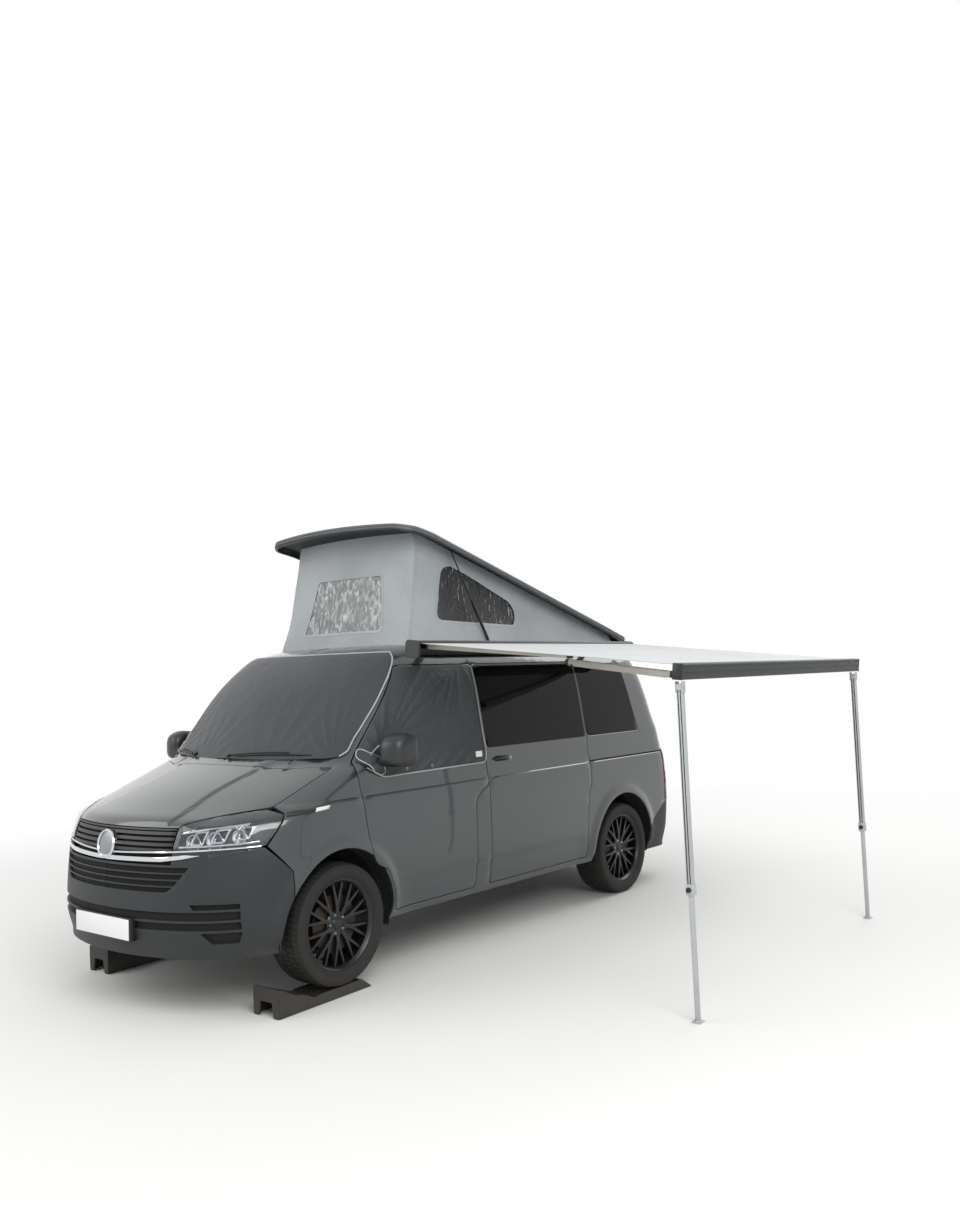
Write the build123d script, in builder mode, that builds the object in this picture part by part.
"""Camper van with a raised roof, a side awning and levelling ramps."""
from build123d import *
import os
from math import asin, atan2, cos, degrees, hypot, radians, sin, sqrt

# The van is drawn level: +X forward, +Y to its left, +Z up, in millimetres, with z = 0 under the tyres
# and x = 0 midway between the axles. At the end every piece is set on its parked place.

# Body and running gear
WHEELBASE = 3000
TRACK = 1628
WALL = 60
SKIN = 30
PANEL_GAP = 6
SEAT_GAP = 0.3
GLASS = 6
AXLE_X = WHEELBASE / 2
WHEEL_Y = TRACK / 2

# Wheels
TYRE_RADIUS = 343
TYRE_WIDTH = 250
RIM_RADIUS = 252
RIM_WIDTH = 226
HUB_RADIUS = 75
HUB_BORE = 31
SPOKES = 10
SPOKE_DISH = 32
SPOKE_DEPTH = 24
BRAKE_RADIUS = 165
BRAKE_THICKNESS = 28
BRAKE_INSET = 55
AXLE_CLEARANCE = 0.5
ARCH_RADIUS = 410
ARCH_HEIGHT = 360
ARCH_LINER = 12
FRONT_ARCH_INNER = 480
REAR_ARCH_INNER = 640
STEER_Y = 735

# Floor and openings
FLOOR_LOW = 330
FLOOR_HIGH = 380
SILL_LOW = 300
FIREWALL_X = 1450
FIREWALL = 30
BELT = 1247
WINDOW_TOP = 1772
DOOR_TOP = 1800
DOOR_BOTTOM = 345

# Roof lid, canvas and struts
LID_HINGE_X = -2080
LID_HINGE_Z = 1956
LID_RISE = 16.0
LID_LENGTH = 2700
LID_WIDTH = 1400
LID_DEPTH = 48
LID_SKIN = 8
ROOF_HIGH = 1945.2
ROOF_HOLE_FRONT = 420
ROOF_HOLE_REAR = -1900
ROOF_HOLE_WIDTH = 1080
CANVAS_FRONT = 560
CANVAS_REAR = -1960
CANVAS_WIDTH = 1200
CANVAS = 4
STRUT_FOOT_X = -266
STRUT_HEAD = 2300
STRUT_Y = 648
STRUT_RADIUS = 11
STRUT_ROD_RADIUS = 5
STRUT_BODY = 330
STRUT_NECK = 18
STRUT_BORE = 40

# Awning
CASE_FRONT = 910
CASE_REAR = -1575
AWNING_Y = 1000
AWNING_Z = 1893
AWNING_SLOPE = 6.0
CASE_BACK = 62
CASE_MOUTH = 46
CASE_HALF = 46
CASE_WALL = 6
ARM_HALF = 914
ARM_OPEN = 71.0
ARM_WIDTH = 42
ARM_HEIGHT = 28
ARM_STEP = 3
ARM_END = 120
PIN_RADIUS = 9
LUG = 5
RAIL_NEAR = 52
RAIL_FAR = 108
RAIL_HALF = 38
FABRIC = 3
LEG_SIZE = 32
LEG_WALL = 2.5
LEG_END = 34
LEG_OUTER = 1050
LEG_PIN_DROP = 36
FOOT_LONG = 56
FOOT_WIDE = 48
FOOT_THICK = 6

# Windscreen cover
COVER = 4
COVER_GAP = 1

# Levelling ramps
RAISE = 60
PITCH = asin(RAISE / WHEELBASE)
RAMP_WIDTH = 210
RAMP_WALL = 8
RAMP_LOW_X = 1392
RAMP_HIGH_X = 1960
RAMP_TALL = 160
RAMP_STOP = 32
RAMP_STOP_X = 300
LANDING_REAR = 150
LANDING_FRONT = 215

# Body sections, one row for each height: height, front x, bow end x, bow end y, side start x,
# half width, rear x, rear bow end x, rear bow end y, side end x
SECTIONS = [
    (300, 2392, 2310, 480, 1750, 905, -2440, -2360, 620, -2100),
    (450, 2425, 2345, 480, 1750, 938, -2480, -2390, 640, -2110),
    (700, 2412, 2330, 480, 1760, 952, -2485, -2385, 650, -2120),
    (960, 2348, 2262, 480, 1730, 946, -2475, -2370, 650, -2110),
    (1040, 2160, 2050, 520, 1600, 938, -2465, -2360, 650, -2100),
    (1240, 1580, 1490, 520, 1180, 918, -2420, -2310, 640, -2050),
    (1855, 960, 905, 480, 640, 782, -2270, -2150, 480, -1830),
    (1915, 820, 760, 440, 520, 720, -2180, -2060, 440, -1780),
    (ROOF_HIGH, 640, 600, 400, 400, 640, -2060, -2000, 400, -1700),
]
ROOF_START = 1900
ARC_SHARE = sqrt(0.5)


def section(row, inset):
    """One plan outline of the body, moved in by a wall thickness."""
    z, front, bow_x, bow_y, side_start, half, rear, rear_bow, rear_y, side_end = row
    front, bow_x, bow_y, half = front - inset, bow_x - inset, bow_y - inset * 0.3, half - inset
    rear, rear_bow, rear_y = rear + inset, rear_bow + inset, rear_y - inset * 0.3
    corner = (side_start + ARC_SHARE * (bow_x - side_start), bow_y + ARC_SHARE * (half - bow_y))
    rear_corner = (side_end + ARC_SHARE * (rear_bow - side_end), rear_y + ARC_SHARE * (half - rear_y))
    with BuildSketch(Plane.XY.offset(z - (inset if z > ROOF_START else 0))) as sketch:
        with BuildLine():
            ThreePointArc((bow_x, -bow_y), (front, 0), (bow_x, bow_y))
            ThreePointArc((bow_x, bow_y), corner, (side_start, half))
            Line((side_start, half), (side_end, half))
            ThreePointArc((side_end, half), rear_corner, (rear_bow, rear_y))
            ThreePointArc((rear_bow, rear_y), (rear, 0), (rear_bow, -rear_y))
            ThreePointArc((rear_bow, -rear_y), (rear_corner[0], -rear_corner[1]), (side_end, -half))
            Line((side_end, -half), (side_start, -half))
            ThreePointArc((side_start, -half), (corner[0], -corner[1]), (bow_x, -bow_y))
        make_face()
    return sketch.sketch.face()


def envelope(inset):
    """The closed form of the body, moved in by a wall thickness."""
    with BuildPart() as form:
        loft([section(row, inset) for row in SECTIONS], ruled=True)
    return form.part


def prism(plane, points, amount, radius=0, grow=0):
    """A straight block with the given outline, its corners rounded, grown or shrunk by a gap."""
    with BuildPart() as block:
        with BuildSketch(plane):
            with BuildLine():
                if radius:
                    FilletPolyline(*points, radius=radius, close=True)
                else:
                    Polyline(*points, close=True)
            make_face()
            if grow:
                offset(amount=grow, kind=Kind.INTERSECTION)
        extrude(amount=amount)
    return block.part


def side_prism(points, y_from, y_to, radius=0, grow=0):
    return prism(Plane.XZ.offset(-y_from), points, y_from - y_to, radius, grow)


def front_prism(points, x_from, x_to, radius=0, grow=0):
    return prism(Plane.YZ.offset(x_from), points, x_to - x_from, radius, grow)


def plan_prism(points, z_from, z_to, radius=0, grow=0):
    return prism(Plane.XY.offset(z_from), points, z_to - z_from, radius, grow)


def shell(outer, inner, *regions):
    """The layer between two depths of the body form, kept only inside the regions."""
    with BuildPart() as layer:
        add(FORMS[outer])
        for region in regions:
            add(region, mode=Mode.INTERSECT)
        if inner is not None:
            add(FORMS[inner], mode=Mode.SUBTRACT)
    return layer.part


def mirrored(part):
    with BuildPart() as other:
        mirror(part, about=Plane.XZ)
    return other.part


def box(x0, x1, y0, y1, z0, z1):
    """A block between two corners."""
    return plan_prism([(x0, y0), (x1, y0), (x1, y1), (x0, y1)], z0, z1)


FAR = 1300
COVER_OUT = -(COVER_GAP + COVER)
WIPER_HIGH = -22
WIPER_LOW = -(COVER_GAP + COVER + 1)
POCKET = 22
DEPTHS = (0, WALL, SKIN, POCKET, GLASS, -COVER_GAP, COVER_OUT, WIPER_LOW, WIPER_HIGH)
FORMS = {depth: envelope(depth) for depth in DEPTHS}

# Outlines of the openings, drawn in side view as x, z
FRONT_DOOR = [
    (1342, BELT - 30), (1268, 700), (1232, 640), (1140, 600), (1085, 480), (1060, DOOR_BOTTOM),
    (300, DOOR_BOTTOM), (300, 905), (258, 950), (152, 1000), (152, DOOR_TOP), (845, DOOR_TOP),
]
DOOR_WINDOW = [(1225, BELT), (856, WINDOW_TOP), (205, WINDOW_TOP), (205, BELT)]
SLIDING_DOOR = [
    (146, DOOR_BOTTOM), (146, DOOR_TOP), (-1060, DOOR_TOP), (-1067, 900), (-1010, 760), (-1000, DOOR_BOTTOM),
]
SLIDING_WINDOW = [(100, BELT), (100, WINDOW_TOP), (-1010, WINDOW_TOP), (-1010, BELT)]
REAR_WINDOW = [(-1110, BELT), (-1110, WINDOW_TOP), (-1700, WINDOW_TOP), (-1800, BELT + 20), (-1780, BELT)]
BUMPER = [(1860, 200), (1860, 700), (2000, 844), (2600, 829), (2600, 200)]
HEADLAMP = [(1868, 1012), (1996, 850), (2600, 835), (2600, 946), (2236, 950)]
BONNET_PLAN = [
    (1432, 806), (1560, 560), (1632, 280), (1648, 0), (1632, -280), (1560, -560), (1432, -806), (1880, -806),
    (2246, -486), (2600, -486), (2600, 486), (2246, 486), (1880, 806),
]
SCREEN = [(-770, BELT + 18), (770, BELT + 18), (665, 1843), (-665, 1843)]
TAILGATE = [(-790, 640), (790, 640), (790, 1100), (640, 1850), (-640, 1850), (-790, 1100)]
TAIL_WINDOW = [(-690, 1230), (690, 1230), (590, 1765), (-590, 1765)]
REAR_BUMPER = [(-2600, 250), (-2600, 632), (-2140, 632), (-1905, 470), (-1905, 250)]
TAIL_LAMP = [(-2145, 640), (-2145, 1066), (-2600, 1066), (-2600, 640)]
LAMP_INNER_Y = 796
RADIUS_WINDOW = 45
RADIUS_DOOR = 30

# Wheel arches: a wide cylinder through each side
with BuildPart() as arches:
    for axle_x, inner_y in ((AXLE_X, FRONT_ARCH_INNER), (-AXLE_X, REAR_ARCH_INNER)):
        for side in (1, -1):
            with BuildSketch(Plane.XZ.offset(-side * inner_y)):
                with Locations((axle_x, ARCH_HEIGHT)):
                    Circle(ARCH_RADIUS)
            extrude(amount=-side * (FAR - inner_y))

# Wheel housings, grown from the arches and closed above the floor
HOUSING_OUTER = 840


def housing(grow):
    with BuildPart() as tubs:
        for axle_x, inner_y in ((AXLE_X, FRONT_ARCH_INNER), (-AXLE_X, REAR_ARCH_INNER)):
            for side in (1, -1):
                with BuildSketch(Plane.XZ.offset(-side * (inner_y - grow))):
                    with Locations((axle_x, ARCH_HEIGHT)):
                        Circle(ARCH_RADIUS + grow)
                    with Locations((axle_x, FLOOR_LOW)):
                        Rectangle(4 * ARCH_RADIUS, 4 * ARCH_RADIUS, align=(Align.CENTER, Align.MAX),
                                  mode=Mode.SUBTRACT)
                extrude(amount=-side * (HOUSING_OUTER - inner_y + grow))
    return tubs.part


housing_clear = housing(ARCH_LINER + SEAT_GAP)

# Body shell
with BuildPart() as body_shell:
    add(shell(0, WALL))
    add(shell(WALL, None, box(FIREWALL_X, FIREWALL_X + FIREWALL, -FAR, FAR, FLOOR_HIGH, BELT)))
    add(housing_clear, mode=Mode.SUBTRACT)
    add(shell(WALL, None, box(FIREWALL_X, AXLE_X + 90, -FAR, FAR, 1150, 1172)))
    add(arches.part, mode=Mode.SUBTRACT)
    for points in (FRONT_DOOR, SLIDING_DOOR):
        add(side_prism(points, 400, FAR, RADIUS_DOOR, PANEL_GAP), mode=Mode.SUBTRACT)
    add(side_prism(FRONT_DOOR, -400, -FAR, RADIUS_DOOR, PANEL_GAP), mode=Mode.SUBTRACT)
    for side in (1, -1):
        add(side_prism(REAR_WINDOW, side * 400, side * FAR, RADIUS_WINDOW), mode=Mode.SUBTRACT)
    add(side_prism(SLIDING_WINDOW, -400, -FAR, RADIUS_WINDOW), mode=Mode.SUBTRACT)
    add(side_prism(BUMPER, -FAR, FAR, 0, SEAT_GAP), mode=Mode.SUBTRACT)
    add(box(2150, 2600, -486, 486, 771, 1000), mode=Mode.SUBTRACT)
    add(side_prism(HEADLAMP, -FAR, FAR, 0, SEAT_GAP), mode=Mode.SUBTRACT)
    add(plan_prism(BONNET_PLAN, 930, 1300, 0, PANEL_GAP), mode=Mode.SUBTRACT)
    add(front_prism(SCREEN, 600, 2000, 60), mode=Mode.SUBTRACT)
    add(front_prism(TAILGATE, -2700, -1900, 40, PANEL_GAP), mode=Mode.SUBTRACT)
    add(side_prism(REAR_BUMPER, -FAR, FAR, 0, SEAT_GAP), mode=Mode.SUBTRACT)
    for side in (1, -1):
        add(side_prism(TAIL_LAMP, side * LAMP_INNER_Y, side * FAR, 0, SEAT_GAP), mode=Mode.SUBTRACT)
    add(box(ROOF_HOLE_REAR, ROOF_HOLE_FRONT, -ROOF_HOLE_WIDTH / 2, ROOF_HOLE_WIDTH / 2, 1800, 2000),
        mode=Mode.SUBTRACT)


# Floor with its wheel housings
with BuildPart() as floor_pan:
    add(shell(WALL, None, box(-2380, FIREWALL_X - 20, -FAR, FAR, FLOOR_LOW, FLOOR_HIGH)))
    add(housing(ARCH_LINER))
    add(arches.part, mode=Mode.SUBTRACT)

# Hinge barrels of the bonnet and tailgate lie in recesses of the body
HINGE_RADIUS = 7
BONNET_HINGE = (1429, 1222)
TAILGATE_HINGE = (-2261, 1860)


def barrels(axis, y_in, y_out, grow):
    """Two barrels, one on each side, on an axis across the van."""
    with BuildPart() as pair:
        for side in (1, -1):
            with BuildSketch(Plane.XZ.offset(-side * (y_in - grow))):
                with Locations(axis):
                    Circle(HINGE_RADIUS + grow)
            extrude(amount=-side * (y_out - y_in + 2 * grow))
    return pair.part


def bonnet_straps(grow, rise):
    """The straps that hold the bonnet's hinge barrels, or with a rise the slots they swing up in."""
    with BuildPart() as pair:
        for side in (1, -1):
            add(box(BONNET_HINGE[0], BONNET_HINGE[0] + 34, side * 786 - 12 - grow, side * 786 + 12 + grow,
                    BONNET_HINGE[1] - HINGE_RADIUS - grow, BONNET_HINGE[1] - 1 + rise))
    return pair.part


bonnet_barrels = barrels(BONNET_HINGE, 772, 800, 0)
tailgate_barrels = barrels(TAILGATE_HINGE, 60, 120, 0)
with BuildPart() as hinged_shell:
    add(body_shell.part)
    add(barrels(BONNET_HINGE, 772, 800, SEAT_GAP), mode=Mode.SUBTRACT)
    add(barrels(TAILGATE_HINGE, 60, 120, SEAT_GAP), mode=Mode.SUBTRACT)
    add(bonnet_straps(SEAT_GAP, 60), mode=Mode.SUBTRACT)

# Feet of the roof struts: a lug with a pin on each side of the roof
with BuildPart() as strut_feet:
    for side in (1, -1):
        add(box(STRUT_FOOT_X - 9, STRUT_FOOT_X + 9, side * STRUT_Y - 5 - SEAT_GAP - 5, side * STRUT_Y - 5 - SEAT_GAP,
                ROOF_HIGH - 30, ROOF_HIGH + 22))
        with BuildSketch(Plane.XZ.offset(-side * STRUT_Y + 5 + SEAT_GAP + 2)):
            with Locations((STRUT_FOOT_X, ROOF_HIGH + 13)):
                Circle(4)
        extrude(amount=-(14 + SEAT_GAP))
    add(FORMS[0], mode=Mode.SUBTRACT)

# Blind pockets of the front bumper, drawn in front view as half outlines of y, z from the middle outwards
BUMPER_POCKETS = [
    [(0, 724), (570, 724), (592, 752), (0, 752)],
    [(0, 690), (545, 690), (563, 716), (0, 716)],
    [(0, 656), (515, 656), (538, 682), (0, 682)],
    [(0, 622), (470, 622), (508, 648), (0, 648)],
    [(0, 424), (812, 424), (812, 464), (0, 464)],
    [(0, 476), (812, 476), (812, 520), (0, 520)],
    [(620, 532), (812, 532), (812, 560), (604, 560)],
    [(690, 350), (790, 350), (812, 410), (650, 410)],
]

# Bumpers, grille and lamps
with BuildPart() as front_bumper:
    add(shell(0, SKIN, side_prism(BUMPER, -FAR, FAR)))
    add(arches.part, mode=Mode.SUBTRACT)
    add(box(2150, 2600, -486, 486, 771, 1000), mode=Mode.SUBTRACT)
    for points in BUMPER_POCKETS:
        for side in (1, -1):
            outline = [(side * y, z) for y, z in points]
            add(shell(-COVER_GAP, POCKET, front_prism(outline, 1900, 2600)), mode=Mode.SUBTRACT)

with BuildPart() as grille:
    add(shell(0, SKIN, box(2150, 2600, -485.7, 485.7, 771.3, 949)))
    with Locations([(2300, 0, z) for z in (800, 835, 870, 905)]):
        Box(400, 920, 16, mode=Mode.SUBTRACT)
    with BuildSketch(Plane.YZ.offset(2335)):
        with Locations((0, 858)):
            Circle(62)
    extrude(amount=38)

with BuildPart() as headlamps:
    add(shell(SKIN, WALL, side_prism(HEADLAMP, -FAR, FAR, 0, -SEAT_GAP)))
    add(box(1800, 2600, -486.3, 486.3, 700, 1100), mode=Mode.SUBTRACT)
    add(plan_prism(BONNET_PLAN, 930, 1300, 0, PANEL_GAP), mode=Mode.SUBTRACT)

with BuildPart() as headlamp_lenses:
    add(shell(0, GLASS, side_prism(HEADLAMP, -FAR, FAR, 0, -SEAT_GAP)))
    add(box(1800, 2600, -486.3, 486.3, 700, 1100), mode=Mode.SUBTRACT)
    add(plan_prism(BONNET_PLAN, 930, 1300, 0, PANEL_GAP), mode=Mode.SUBTRACT)

with BuildPart() as rear_bumper:
    add(shell(0, SKIN, side_prism(REAR_BUMPER, -FAR, FAR)))
    add(arches.part, mode=Mode.SUBTRACT)

with BuildPart() as tail_lamps:
    for side in (1, -1):
        add(shell(0, SKIN, side_prism(TAIL_LAMP, side * LAMP_INNER_Y, side * FAR)))

# Closures
with BuildPart() as bonnet:
    add(shell(0, SKIN, plan_prism(BONNET_PLAN, 955, 1300)))
    add(bonnet_barrels)
    add(bonnet_straps(0, 0))

with BuildPart() as tailgate:
    add(shell(0, WALL, front_prism(TAILGATE, -2700, -1900, 40)))
    add(front_prism(TAIL_WINDOW, -2700, -1900, 50), mode=Mode.SUBTRACT)
    add(tailgate_barrels)
    for side in (1, -1):
        add(box(TAILGATE_HINGE[0] - 7, TAILGATE_HINGE[0] + 3, side * 90 - 25, side * 90 + 25,
                TAILGATE_HINGE[1] - 30, TAILGATE_HINGE[1]))

with BuildPart() as tailgate_glass:
    add(shell(0, GLASS, front_prism(TAIL_WINDOW, -2700, -1900, 50)))

with BuildPart() as front_door_left:
    add(shell(0, WALL, side_prism(FRONT_DOOR, 400, FAR, RADIUS_DOOR)))
    add(side_prism(DOOR_WINDOW, 400, FAR, 30), mode=Mode.SUBTRACT)

with BuildPart() as door_glass_left:
    add(shell(0, GLASS, side_prism(DOOR_WINDOW, 400, FAR, 30)))

with BuildPart() as sliding_door:
    add(shell(0, WALL, side_prism(SLIDING_DOOR, 400, FAR, RADIUS_DOOR)))
    add(side_prism(SLIDING_WINDOW, 400, FAR, RADIUS_WINDOW), mode=Mode.SUBTRACT)
    add(arches.part, mode=Mode.SUBTRACT)

with BuildPart() as side_windows:
    for side in (1, -1):
        for points in (SLIDING_WINDOW, REAR_WINDOW):
            add(shell(0, GLASS, side_prism(points, side * 400, side * FAR, RADIUS_WINDOW)))

with BuildPart() as windscreen:
    add(shell(0, GLASS, front_prism(SCREEN, 600, 2000, 60)))

# Door mirrors
with BuildPart() as mirror_left:
    with BuildSketch(Plane.YZ.offset(1060)):
        with Locations((1065, 1298)):
            RectangleRounded(166, 190, 40)
    extrude(amount=130, taper=14)
    with BuildSketch(Plane.XY.offset(1222)):
        with Locations((1110, 950)):
            Rectangle(70, 100)
    extrude(amount=40)
    add(FORMS[0], mode=Mode.SUBTRACT)

# Windscreen cover: the front sheet and the two sides that ride on the doors
FRONT_COVER = [(-788, BELT + 6), (788, BELT + 6), (690, 1880), (-690, 1880)]
SIDE_COVER = [(1240, 1146), (1262, 1205), (850, 1796), (158, 1796), (158, 1146)]
with BuildPart() as windscreen_cover:
    add(shell(COVER_OUT, -COVER_GAP, front_prism(FRONT_COVER, 600, 2000, 40)))
with BuildPart() as cover_side_left:
    add(shell(COVER_OUT, -COVER_GAP, side_prism(SIDE_COVER, 400, FAR, 30)))
    add(mirror_left.part, mode=Mode.SUBTRACT)

# Wheels
with BuildPart() as tyre_master:
    with BuildSketch(Plane.XY):
        with BuildLine():
            half = TYRE_WIDTH / 2
            bead = RIM_WIDTH / 2 - 13
            Polyline((RIM_RADIUS - 8, -bead), (RIM_RADIUS + 0.5, -bead), (RIM_RADIUS + 14, -half + 4))
            ThreePointArc((RIM_RADIUS + 14, -half + 4), (RIM_RADIUS + 48, -half), (TYRE_RADIUS - 14, -half + 10))
            TangentArc((TYRE_RADIUS, -half + 50), (TYRE_RADIUS - 14, -half + 10), tangent=(0, -1))
            Line((TYRE_RADIUS, -half + 50), (TYRE_RADIUS, half - 50))
            TangentArc((TYRE_RADIUS, half - 50), (TYRE_RADIUS - 14, half - 10), tangent=(0, 1))
            ThreePointArc((TYRE_RADIUS - 14, half - 10), (RIM_RADIUS + 48, half), (RIM_RADIUS + 14, half - 4))
            Polyline((RIM_RADIUS + 14, half - 4), (RIM_RADIUS + 0.5, bead), (RIM_RADIUS - 8, bead),
                     (RIM_RADIUS - 8, -bead))
        make_face()
    revolve(axis=Axis.Y)

RIM_HALF = RIM_WIDTH / 2
FACE_Y = RIM_HALF - SPOKE_DISH
SPOKE_TIP = RIM_RADIUS - 14
SPREAD = SPOKE_TIP * sin(radians(180 / SPOKES / 2))
# One spoke from the hub outwards: a stem that forks into two arms
SPOKE = [(55, -11), (108, -10), (SPOKE_TIP, -SPREAD - 7), (SPOKE_TIP, -SPREAD + 5), (136, 0),
         (SPOKE_TIP, SPREAD - 5), (SPOKE_TIP, SPREAD + 7), (108, 10), (55, 11)]
with BuildPart() as wheel_master:
    with BuildSketch(Plane.XY):
        with BuildLine():
            Polyline(
                (RIM_RADIUS, RIM_HALF), (RIM_RADIUS, RIM_HALF - 8), (RIM_RADIUS - 8.3, RIM_HALF - 12),
                (RIM_RADIUS - 8.3, -RIM_HALF + 12), (RIM_RADIUS, -RIM_HALF + 8), (RIM_RADIUS, -RIM_HALF),
                (RIM_RADIUS - 18, -RIM_HALF), (RIM_RADIUS - 18, RIM_HALF), close=True)
        make_face()
    revolve(axis=Axis.Y)
    with BuildSketch(Plane.XZ.offset(-FACE_Y + 26)):
        Circle(HUB_RADIUS)
    extrude(amount=-26)
    with BuildSketch(Plane.XZ.offset(-FACE_Y + SPOKE_DEPTH)):
        with PolarLocations(0, SPOKES):
            Polygon(*SPOKE, align=None)
    extrude(amount=-SPOKE_DEPTH)
    with BuildSketch(Plane.XZ.offset(-FACE_Y + 26)):
        Circle(HUB_RADIUS)
        Circle(HUB_BORE, mode=Mode.SUBTRACT)
    extrude(amount=FACE_Y - 26 + BRAKE_INSET)
    with BuildSketch(Plane.XZ.offset(BRAKE_INSET - BRAKE_THICKNESS)):
        Circle(BRAKE_RADIUS)
        Circle(HUB_BORE, mode=Mode.SUBTRACT)
    extrude(amount=BRAKE_THICKNESS)


WHEELS = [
    ("front_left", AXLE_X, 1),
    ("front_right", AXLE_X, -1),
    ("rear_left", -AXLE_X, 1),
    ("rear_right", -AXLE_X, -1),
]
wheels = {}
for name, axle_x, side in WHEELS:
    for kind, master in (("tyre", tyre_master), ("wheel", wheel_master)):
        with BuildPart(Plane.XY) as item:
            if side > 0:
                add(master.part)
            else:
                mirror(master.part, about=Plane.XZ)
        wheels[f"{kind}_{name}"] = item.part.moved(Location((axle_x, side * WHEEL_Y, TYRE_RADIUS)))

# Knuckles and axles: the stub enters the hub's bore
SUBFRAME_Y = 400
AXLE_LOW = 215
ARM_THICK = 30
STUB_END = WHEEL_Y + FACE_Y - 26 - 6
BRAKE_INNER_Y = WHEEL_Y - BRAKE_INSET
KNUCKLE_Y = BRAKE_INNER_Y - 8
STUD_RADIUS = 12
STUD_HIGH = 12
UPRIGHT = (sin(PITCH), 0, cos(PITCH))
UPRIGHT_X = (cos(PITCH), 0, -sin(PITCH))
with BuildPart() as knuckle_left:
    with BuildSketch(Plane.XZ.offset(-KNUCKLE_Y)):
        with Locations((AXLE_X, TYRE_RADIUS)):
            Circle(62)
        with Locations((AXLE_X, AXLE_LOW + ARM_THICK + STUD_HIGH)):
            Rectangle(54, 250 - STUD_HIGH, align=(Align.CENTER, Align.MIN))
    extrude(amount=30)
    with BuildSketch(Plane(origin=(AXLE_X, STEER_Y, AXLE_LOW + ARM_THICK + SEAT_GAP), x_dir=UPRIGHT_X, z_dir=UPRIGHT)):
        Circle(STUD_RADIUS)
    extrude(amount=3 * STUD_HIGH)
    with BuildSketch(Plane.XZ.offset(-BRAKE_INNER_Y - BRAKE_THICKNESS - 22)):
        with Locations((AXLE_X, TYRE_RADIUS)):
            Circle(BRAKE_RADIUS + 18)
            Circle(BRAKE_RADIUS - 55, mode=Mode.SUBTRACT)
            with Locations((75, 0)):
                Rectangle(600, 600, align=(Align.MAX, Align.CENTER), mode=Mode.SUBTRACT)
    extrude(amount=BRAKE_THICKNESS + 22 + 30)
    with BuildSketch(Plane.XZ.offset(-BRAKE_INNER_Y - BRAKE_THICKNESS - 3)):
        with Locations((AXLE_X, TYRE_RADIUS)):
            Circle(BRAKE_RADIUS + 3)
    extrude(amount=BRAKE_THICKNESS + 6, mode=Mode.SUBTRACT)
    with BuildSketch(Plane.XZ.offset(-KNUCKLE_Y)):
        with Locations((AXLE_X, TYRE_RADIUS)):
            Rectangle(320, 54)
    extrude(amount=25)
    with BuildSketch(Plane.XZ.offset(-STUB_END)):
        with Locations((AXLE_X, TYRE_RADIUS)):
            Circle(HUB_BORE - AXLE_CLEARANCE)
    extrude(amount=STUB_END - KNUCKLE_Y)

with BuildPart() as front_axle:
    with Locations((AXLE_X - 40, 0, AXLE_LOW + 30)):
        Box(330, 2 * SUBFRAME_Y, 60)
    for side in (1, -1):
        add(plan_prism([
            (AXLE_X - 190, side * (SUBFRAME_Y - 20)), (AXLE_X + 40, side * (SUBFRAME_Y - 20)),
            (AXLE_X + 20, side * (STEER_Y + 12)), (AXLE_X - 20, side * (STEER_Y + 12))],
            AXLE_LOW, AXLE_LOW + ARM_THICK))
        with BuildSketch(Plane.XY.offset(AXLE_LOW)):
            with Locations((AXLE_X - 100, side * 300)):
                Rectangle(60, 60)
        extrude(amount=FLOOR_LOW - AXLE_LOW - SEAT_GAP)

with BuildPart() as rear_axle:
    with Locations((-AXLE_X + 190, 0, 270)):
        Box(90, 2 * SUBFRAME_Y, 70)
    for side in (1, -1):
        add(plan_prism([
            (-AXLE_X + 235, side * (SUBFRAME_Y - 20)), (-AXLE_X + 145, side * (SUBFRAME_Y - 20)),
            (-AXLE_X - 40, side * (KNUCKLE_Y - 30)), (-AXLE_X + 40, side * (KNUCKLE_Y - 30))], 240, 300))
        with BuildSketch(Plane.XZ.offset(-side * STUB_END)):
            with Locations((-AXLE_X, TYRE_RADIUS)):
                Circle(HUB_BORE - AXLE_CLEARANCE)
        extrude(amount=side * (STUB_END - KNUCKLE_Y))
        with BuildSketch(Plane.XZ.offset(-side * KNUCKLE_Y)):
            with Locations((-AXLE_X, TYRE_RADIUS - 20)):
                Rectangle(80, 160)
        extrude(amount=side * 30)
        with BuildSketch(Plane.XY.offset(270)):
            with Locations((-AXLE_X + 190, side * 300)):
                Rectangle(60, 60)
        extrude(amount=FLOOR_LOW - 270 - SEAT_GAP)

with BuildPart() as engine:
    with Locations((1800, 0, 640)):
        Box(440, 620, 480)
    with BuildSketch(Plane.XY.offset(AXLE_LOW + 60 + SEAT_GAP)):
        with Locations((AXLE_X + 95, 200), (AXLE_X + 95, -200)):
            Circle(28)
    extrude(amount=400 - AXLE_LOW - 60)

EXHAUST_RADIUS = 28
with BuildPart() as exhaust:
    with BuildLine(Plane.XY.offset(FLOOR_LOW - 60)) as pipe:
        FilletPolyline((1000, -150, 0), (200, -150, 0), (-300, -330, 0), (-900, -330, 0), radius=150)
    with BuildSketch(Plane.YZ.offset(1000)):
        with Locations((-150, FLOOR_LOW - 60)):
            Circle(EXHAUST_RADIUS)
    sweep(path=pipe.line)
    with BuildSketch(Plane.YZ.offset(-1250)):
        with Locations((-330, FLOOR_LOW - 70)):
            SlotOverall(220, 120)
    extrude(amount=500)
    with Locations((-1000, -330, FLOOR_LOW - 8)):
        Box(60, 60, 2 * (8 - SEAT_GAP))
    with Locations((600, -150, FLOOR_LOW - 18)):
        Box(60, 60, 2 * (18 - SEAT_GAP))

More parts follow.
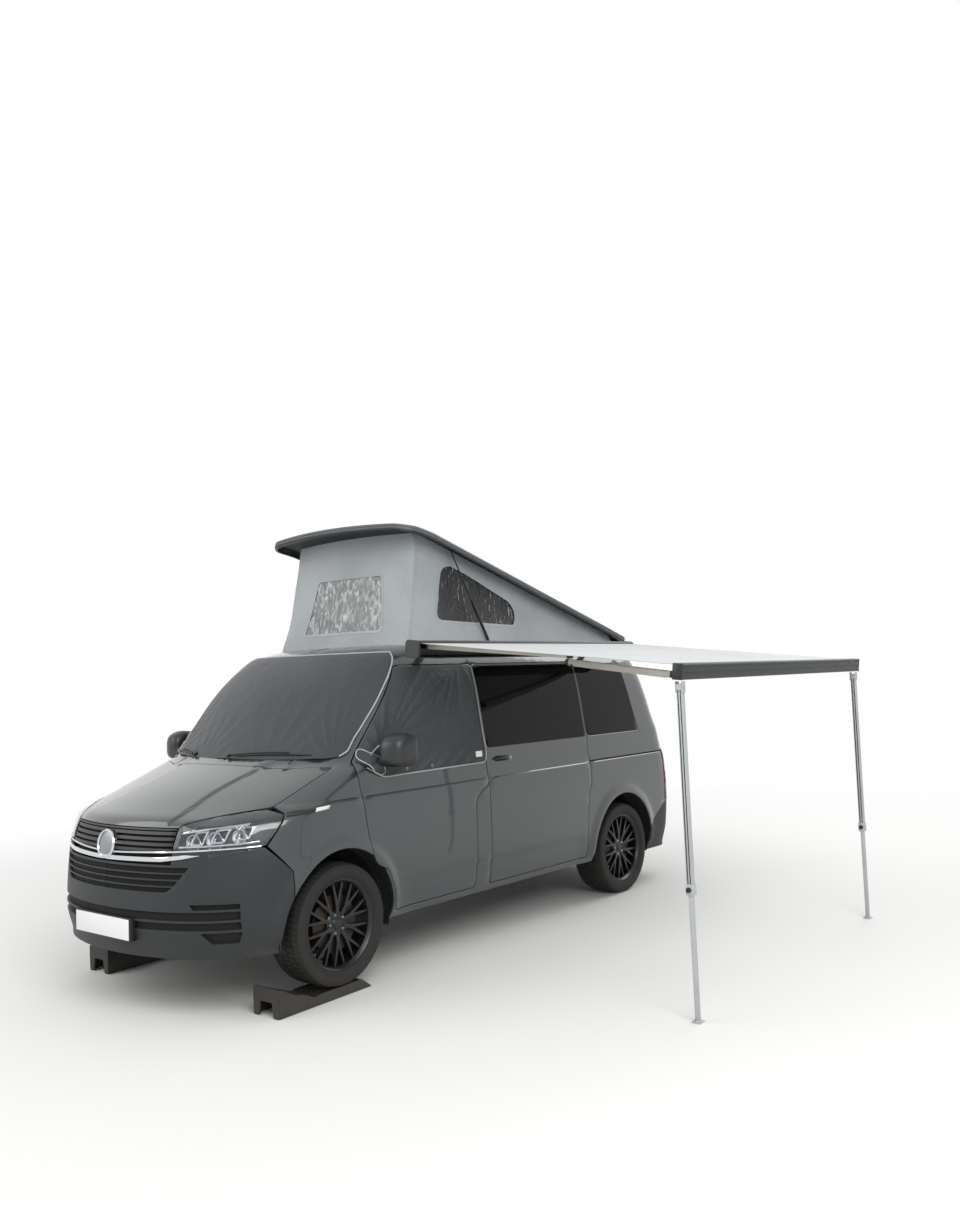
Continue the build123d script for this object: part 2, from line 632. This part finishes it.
# Cab and living space
with BuildPart() as dashboard:
    add(side_prism([(FIREWALL_X - 0.3, 800), (1110, 800), (1075, 900), (1100, 1060), (1180, 1105),
                    (1400, 1130), (FIREWALL_X - 0.3, 1100)], -790, 790, 18))
    with BuildSketch(Plane(origin=(955, -410, 985), x_dir=(0, 1, 0), z_dir=(-0.85, 0, 0.53))):
        Circle(30)
    extrude(amount=-180)
    with BuildSketch(Plane(origin=(955, -410, 985), x_dir=(0, 1, 0), z_dir=(-0.85, 0, 0.53))):
        Circle(190)
        Circle(165, mode=Mode.SUBTRACT)
        Rectangle(350, 36)
    extrude(amount=24)

SEAT_X = 500
with BuildPart() as front_seats:
    for side in (1, -1):
        y0, y1 = sorted((side * 160, side * 690))
        add(box(SEAT_X - 230, SEAT_X + 200, y0 + 40, y1 - 40, FLOOR_HIGH + SEAT_GAP, 600))
        add(side_prism([(SEAT_X - 260, 600), (SEAT_X + 260, 610), (SEAT_X + 270, 740), (SEAT_X - 150, 720),
                        (SEAT_X - 330, 1350), (SEAT_X - 440, 1330), (SEAT_X - 270, 700)], y0, y1, 25))
        add(side_prism([(SEAT_X - 345, 1340), (SEAT_X - 450, 1330), (SEAT_X - 490, 1560), (SEAT_X - 390, 1580)],
                       y0 + 120, y1 - 120, 25))

with BuildPart() as camper_furniture:
    add(box(-2050, -250, -840, -430, FLOOR_HIGH + SEAT_GAP, 1180))
    add(housing_clear, mode=Mode.SUBTRACT)
    add(box(-1300, -620, -420, 560, FLOOR_HIGH + SEAT_GAP, 700))
    add(side_prism([(-1290, 700), (-640, 700), (-640, 830), (-1120, 830), (-1230, 1420), (-1350, 1420)],
                   -410, 560, 25))

with BuildPart() as wipers:
    add(shell(WIPER_HIGH, WIPER_LOW, plan_prism([(1584, 20), (1560, 0), (1448, 610), (1474, 622)], 1200, 1400)))
    add(shell(WIPER_HIGH, WIPER_LOW, plan_prism([(1560, -360), (1530, -350), (1395, -735), (1425, -745)], 1200, 1400)))
    for x, y, z in ((1597, 20, 1238), (1568, -380, 1240)):
        with BuildSketch(Plane.XY.offset(z)):
            with Locations((x, y)):
                Circle(16)
        extrude(amount=52)
    add(FORMS[0], mode=Mode.SUBTRACT)
    add(windscreen_cover.part, mode=Mode.SUBTRACT)

# Roof lid, drawn flat at its hinge and tilted to its raised place
LID_PLANE = Plane(
    origin=(LID_HINGE_X, 0, LID_HINGE_Z),
    x_dir=(cos(radians(LID_RISE)), 0, sin(radians(LID_RISE))),
    z_dir=(-sin(radians(LID_RISE)), 0, cos(radians(LID_RISE))))
with BuildPart() as pop_roof:
    with BuildSketch(LID_PLANE.offset(LID_DEPTH)) as lid_outline:
        with Locations((LID_LENGTH / 2, 0)):
            RectangleRounded(LID_LENGTH, LID_WIDTH, 130)
    extrude(amount=-LID_DEPTH)
    with BuildSketch(LID_PLANE.offset(LID_DEPTH - LID_SKIN)):
        with Locations((LID_LENGTH / 2, 0)):
            RectangleRounded(LID_LENGTH - 30, LID_WIDTH - 30, 115)
    extrude(amount=-LID_DEPTH, mode=Mode.SUBTRACT)

def on_lid(x, z=0.0):
    """A point given along the closed lid, as x, z with the lid raised."""
    a = radians(LID_RISE)
    return (LID_HINGE_X + x * cos(a) - z * sin(a), LID_HINGE_Z + x * sin(a) + z * cos(a))

canvas_top = LID_DEPTH - LID_SKIN - SEAT_GAP
front_top = on_lid(CANVAS_FRONT - LID_HINGE_X, canvas_top)
rear_top = on_lid(CANVAS_REAR - LID_HINGE_X, canvas_top)
with BuildPart() as roof_canvas:
    wedge = [(CANVAS_FRONT, ROOF_HIGH + SEAT_GAP), front_top, rear_top, (CANVAS_REAR, ROOF_HIGH + SEAT_GAP)]
    add(side_prism(wedge, -CANVAS_WIDTH / 2, CANVAS_WIDTH / 2))
    add(side_prism([(wedge[0][0] - CANVAS, wedge[0][1] - 10), (wedge[1][0] - CANVAS, wedge[1][1] + 10),
                    (wedge[2][0], wedge[2][1] + 10), (wedge[3][0] + 40, wedge[3][1] - 10)],
                   -CANVAS_WIDTH / 2 + CANVAS, CANVAS_WIDTH / 2 - CANVAS), mode=Mode.SUBTRACT)

STRUT_FOOT_Z = ROOF_HIGH + 13
strut_head = on_lid(STRUT_HEAD, 6)
strut_angle = degrees(atan2(strut_head[1] - STRUT_FOOT_Z, strut_head[0] - STRUT_FOOT_X))
strut_length = hypot(strut_head[1] - STRUT_FOOT_Z, strut_head[0] - STRUT_FOOT_X)
print("strut", strut_head, strut_angle, strut_length)
strut_dir = (cos(radians(strut_angle)), 0, sin(radians(strut_angle)))
with BuildPart() as roof_strut_cylinders:
    for side in (1, -1):
        base = Plane(origin=(STRUT_FOOT_X, side * STRUT_Y, STRUT_FOOT_Z), x_dir=(0, 1, 0), z_dir=strut_dir)
        with BuildSketch(base):
            Circle(STRUT_ROD_RADIUS)
        extrude(amount=STRUT_NECK)
        with BuildSketch(base.offset(STRUT_NECK)):
            Circle(STRUT_RADIUS)
        extrude(amount=STRUT_BODY - STRUT_NECK)
        with BuildSketch(Plane.XZ.offset(-side * STRUT_Y - 5)):
            with Locations((STRUT_FOOT_X, STRUT_FOOT_Z)):
                Circle(10)
        extrude(amount=10)
        with BuildSketch(Plane.XZ.offset(-side * STRUT_Y - 6)):
            with Locations((STRUT_FOOT_X, STRUT_FOOT_Z)):
                Circle(4 + SEAT_GAP)
        extrude(amount=12, mode=Mode.SUBTRACT)
        with BuildSketch(base.offset(STRUT_BORE)):
            Circle(STRUT_ROD_RADIUS + AXLE_CLEARANCE)
        extrude(amount=STRUT_BODY, mode=Mode.SUBTRACT)
with BuildPart() as roof_strut_rods:
    for side in (1, -1):
        base = Plane(origin=(STRUT_FOOT_X, side * STRUT_Y, STRUT_FOOT_Z), x_dir=(0, 1, 0), z_dir=strut_dir)
        with BuildSketch(base.offset(STRUT_BODY - 10)):
            Circle(STRUT_ROD_RADIUS)
        extrude(amount=strut_length - STRUT_BODY + 10)

# Awning: the case, folding arms, fabric, front rail and legs
AWNING = Plane(
    origin=(0, AWNING_Y, AWNING_Z), x_dir=(1, 0, 0),
    z_dir=(0, sin(radians(AWNING_SLOPE)), cos(radians(AWNING_SLOPE))))
REACH = 2 * ARM_HALF * sin(radians(ARM_OPEN))


def awning_block(x0, x1, y0, y1, n0, n1):
    """A block in the awning's own sloping frame."""
    return prism(AWNING.offset(n0), [(x0, y0), (x1, y0), (x1, y1), (x0, y1)], n1 - n0)


def awning_pin(x, y, n0, n1, radius):
    with BuildPart() as pin:
        with BuildSketch(AWNING.offset(n0)):
            with Locations((x, y)):
                Circle(radius)
        extrude(amount=n1 - n0)
    return pin.part


def arm(x0, y0, x1, y1, n0):
    with BuildPart() as bar:
        with BuildSketch(AWNING.offset(n0)):
            with Locations(((x0 + x1) / 2, (y0 + y1) / 2)):
                SlotCenterToCenter(hypot(x1 - x0, y1 - y0), ARM_WIDTH, rotation=degrees(atan2(y1 - y0, x1 - x0)))
        extrude(amount=ARM_HEIGHT)
    return bar.part


ARMS = [("front", CASE_FRONT - ARM_END, -1), ("rear", CASE_REAR + ARM_END, 1)]
UPPER = ARM_STEP
LOWER = -ARM_STEP - ARM_HEIGHT
with BuildPart() as awning_case:
    add(awning_block(CASE_REAR, CASE_FRONT, -CASE_BACK, CASE_MOUTH, -CASE_HALF - CASE_WALL, CASE_HALF + CASE_WALL))
    add(awning_block(CASE_REAR + CASE_WALL, CASE_FRONT - CASE_WALL, -CASE_BACK + CASE_WALL, CASE_MOUTH + 10,
                     -CASE_HALF, CASE_HALF), mode=Mode.SUBTRACT)
    for name, x, way in ARMS:
        top = UPPER + ARM_HEIGHT + SEAT_GAP
        add(awning_block(x - 30, x + 30, -CASE_BACK + 3, 20, top, top + LUG))
        add(awning_pin(x, 0, UPPER + SEAT_GAP, top + 1, PIN_RADIUS))
    for x in (CASE_FRONT - 300, CASE_REAR + 300):
        add(box(x - 40, x + 40, 770, 965, 1836, 1848))
    add(FORMS[0], mode=Mode.SUBTRACT)

arm_parts = {}
for name, x, way in ARMS:
    elbow_x = x + way * ARM_HALF * cos(radians(ARM_OPEN))
    elbow_y = REACH / 2
    with BuildPart() as inner:
        add(arm(x, 0, elbow_x, elbow_y, UPPER))
        add(awning_pin(x, 0, UPPER - 1, UPPER + ARM_HEIGHT + 1, PIN_RADIUS + SEAT_GAP), mode=Mode.SUBTRACT)
        add(awning_pin(elbow_x, elbow_y, LOWER + SEAT_GAP, UPPER + 1, PIN_RADIUS))
    with BuildPart() as outer:
        add(arm(elbow_x, elbow_y, x, REACH, LOWER))
        add(awning_pin(elbow_x, elbow_y, LOWER - 1, LOWER + ARM_HEIGHT + 1, PIN_RADIUS + SEAT_GAP), mode=Mode.SUBTRACT)
        add(awning_pin(x, REACH, LOWER - 1, LOWER + ARM_HEIGHT + 1, PIN_RADIUS + SEAT_GAP), mode=Mode.SUBTRACT)
    arm_parts[f"awning_arm_inner_{name}"] = inner.part
    arm_parts[f"awning_arm_outer_{name}"] = outer.part

LEGS = [("front", CASE_FRONT - LEG_END, -1), ("rear", CASE_REAR + LEG_END, 1)]
a = radians(AWNING_SLOPE)
leg_y = AWNING_Y + (REACH + (RAIL_NEAR + RAIL_FAR) / 2) * cos(a) - RAIL_HALF * sin(a)
leg_pin_z = AWNING_Z - (REACH + (RAIL_NEAR + RAIL_FAR) / 2) * sin(a) - RAIL_HALF * cos(a) - LEG_PIN_DROP
with BuildPart() as awning_rail:
    add(awning_block(CASE_REAR, CASE_FRONT, REACH + RAIL_NEAR, REACH + RAIL_FAR, -RAIL_HALF, CASE_HALF))
    add(awning_block(CASE_REAR - 1, CASE_FRONT + 1, REACH + RAIL_NEAR + 4, REACH + RAIL_FAR - 4, -RAIL_HALF + 4,
                     CASE_HALF - 4), mode=Mode.SUBTRACT)
    for name, x, way in ARMS:
        low = LOWER - SEAT_GAP - LUG
        add(awning_block(x - 26, x + 26, REACH - 20, REACH + RAIL_NEAR + 1, low, low + LUG))
        add(awning_pin(x, REACH, low + 1, LOWER + ARM_HEIGHT - SEAT_GAP, PIN_RADIUS))
    for name, x, way in LEGS:
        for side in (1, -1):
            y = leg_y + side * (LEG_SIZE / 2 + SEAT_GAP + 2)
            add(box(x - 18, x + 18, y - 2, y + 2, leg_pin_z - 14, leg_pin_z + LEG_PIN_DROP + 12))
        with BuildSketch(Plane.XZ.offset(-leg_y - LEG_SIZE / 2 - 3)):
            with Locations((x, leg_pin_z)):
                Circle(5)
        extrude(amount=LEG_SIZE + 6)

with BuildPart() as awning_fabric:
    add(awning_block(CASE_REAR + 20, CASE_FRONT - 20, 30, REACH + RAIL_NEAR - SEAT_GAP,
                     UPPER + ARM_HEIGHT + LUG + 2, UPPER + ARM_HEIGHT + LUG + 2 + FABRIC))

# The van is parked nose up on the ramps, turned about the rear tyres


def parked_height(x, z):
    """Height over the ground of a point of the level van."""
    return (x + AXLE_X) * sin(PITCH) + z * cos(PITCH) + TYRE_RADIUS * (1 - cos(PITCH))


leg_parts = {}
for name, x, way in LEGS:
    length = parked_height(x, leg_pin_z) - 0.2
    foot = Plane(origin=(x, leg_y, leg_pin_z), x_dir=UPRIGHT_X, z_dir=UPRIGHT)
    with BuildPart() as outer:
        with BuildSketch(foot.offset(-LEG_OUTER)):
            Rectangle(LEG_SIZE, LEG_SIZE)
        extrude(amount=LEG_OUTER + LEG_SIZE / 2)
        with BuildSketch(foot.offset(-LEG_OUTER - 1)):
            Rectangle(LEG_SIZE - 2 * LEG_WALL, LEG_SIZE - 2 * LEG_WALL)
        extrude(amount=LEG_OUTER - 30, mode=Mode.SUBTRACT)
        with BuildSketch(Plane.XZ.offset(-leg_y - LEG_SIZE)):
            with Locations((x, leg_pin_z)):
                Circle(5 + SEAT_GAP)
        extrude(amount=2 * LEG_SIZE, mode=Mode.SUBTRACT)
    inner_size = LEG_SIZE - 2 * LEG_WALL - 2 * SEAT_GAP
    with BuildPart() as inner:
        with BuildSketch(foot.offset(-length + FOOT_THICK)):
            Rectangle(inner_size, inner_size)
        extrude(amount=length - LEG_OUTER + 200)
        with BuildSketch(foot.offset(-length)):
            RectangleRounded(FOOT_LONG, FOOT_WIDE, 8)
        extrude(amount=FOOT_THICK)
    leg_parts[f"awning_leg_{name}"] = outer.part
    leg_parts[f"awning_foot_{name}"] = inner.part

# Levelling ramps stand on the ground, each a hollow wedge with a landing for the tyre
front_ground_x = -AXLE_X + WHEELBASE * cos(PITCH) - TYRE_RADIUS * sin(PITCH)
landing_top = RAISE - SEAT_GAP
landing_x = front_ground_x - LANDING_REAR
stop_x = front_ground_x + LANDING_FRONT
RAMP = [
    (RAMP_LOW_X - 130, 0), (landing_x, landing_top), (stop_x, landing_top),
    (front_ground_x + RAMP_STOP_X, landing_top + RAMP_STOP), (RAMP_HIGH_X, RAMP_TALL), (RAMP_HIGH_X, 0),
]
with BuildPart() as levelling_ramps:
    for side in (1, -1):
        y0, y1 = sorted((side * (WHEEL_Y - RAMP_WIDTH / 2), side * (WHEEL_Y + RAMP_WIDTH / 2)))
        add(side_prism(RAMP, y0, y1))
        add(side_prism([(RAMP_LOW_X - 40, -1), (landing_x, landing_top - 14),
                        (stop_x + 10, landing_top - 14), (RAMP_HIGH_X + 1, RAMP_TALL - 26),
                        (RAMP_HIGH_X + 1, -1)], y0 + RAMP_WALL, y1 - RAMP_WALL), mode=Mode.SUBTRACT)

level_pieces = {
    "body_shell": hinged_shell.part, "strut_feet": strut_feet.part,
    "floor_pan": floor_pan.part, "front_bumper": front_bumper.part,
    "grille": grille.part, "headlamps": headlamps.part, "headlamp_lenses": headlamp_lenses.part,
    "rear_bumper": rear_bumper.part, "tail_lamps": tail_lamps.part, "windscreen": windscreen.part,
    "side_windows": side_windows.part, "wipers": wipers.part, "engine": engine.part,
    "front_axle": front_axle.part, "rear_axle": rear_axle.part, "exhaust": exhaust.part,
    "dashboard": dashboard.part, "front_seats": front_seats.part, "camper_furniture": camper_furniture.part,
    "sliding_door": sliding_door.part, "awning_case": awning_case.part, "awning_fabric": awning_fabric.part,
    "roof_canvas": roof_canvas.part, "windscreen_cover": windscreen_cover.part,
    "front_door_left": front_door_left.part, "front_door_right": mirrored(front_door_left.part),
    "door_glass_left": door_glass_left.part, "door_glass_right": mirrored(door_glass_left.part),
    "mirror_left": mirror_left.part, "mirror_right": mirrored(mirror_left.part),
    "cover_side_left": cover_side_left.part, "cover_side_right": mirrored(cover_side_left.part),
    "bonnet": bonnet.part, "tailgate": tailgate.part, "tailgate_glass": tailgate_glass.part,
    "pop_roof": pop_roof.part, "roof_strut_cylinders": roof_strut_cylinders.part,
    "roof_strut_rods": roof_strut_rods.part, "knuckle_front_left": knuckle_left.part,
    "knuckle_front_right": mirrored(knuckle_left.part), "awning_rail": awning_rail.part,
    **wheels, **arm_parts, **leg_parts,
}
PARK = Plane(
    origin=(-AXLE_X + AXLE_X * cos(PITCH), 0, AXLE_X * sin(PITCH) + TYRE_RADIUS * (1 - cos(PITCH))),
    x_dir=(cos(PITCH), 0, sin(PITCH)), z_dir=(-sin(PITCH), 0, cos(PITCH))).location
pieces = {name: piece.moved(PARK) for name, piece in level_pieces.items()}
pieces["levelling_ramps"] = levelling_ramps.part

# The origin is under the middle of the whole vehicle
boxes = [piece.bounding_box() for piece in pieces.values()]
low = [min(tuple(b.min)[i] for b in boxes) for i in range(3)]
high = [max(tuple(b.max)[i] for b in boxes) for i in range(3)]
CENTRE = Location((-(low[0] + high[0]) / 2, -(low[1] + high[1]) / 2, 0))
print("box", low, high)

os.makedirs("parts", exist_ok=True)
for name, piece in pieces.items():
    placed = piece.moved(CENTRE)
    placed.label = name
    export_step(placed, f"parts/{name}.step")
